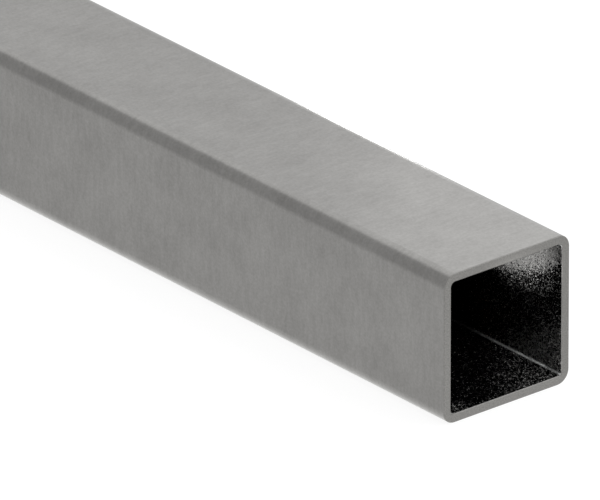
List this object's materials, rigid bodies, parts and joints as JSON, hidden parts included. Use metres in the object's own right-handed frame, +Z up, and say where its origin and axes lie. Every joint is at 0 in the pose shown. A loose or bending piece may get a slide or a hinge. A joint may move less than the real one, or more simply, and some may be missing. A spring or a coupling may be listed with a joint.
{
  "type": "square metal tube",
  "caption": "Straight length of hollow square steel tube with rounded long corners and square-cut open ends, for frames, legs and sleeves.",
  "frame": {"origin": "middle of the length, on the underside that the tube lies on", "axes": "+X along the tube towards one open end, +Y across it, +Z up"},
  "size_m": [1, 0.05, 0.05],
  "materials": {
    "mill_finish_steel": "dull grey mill finish outside with a fine grain across the length, sawn ends, dark mill scale inside the bore"
  },
  "bodies": {
    "root": {"square_tube": "mill_finish_steel"}
  },
  "joints": []
}
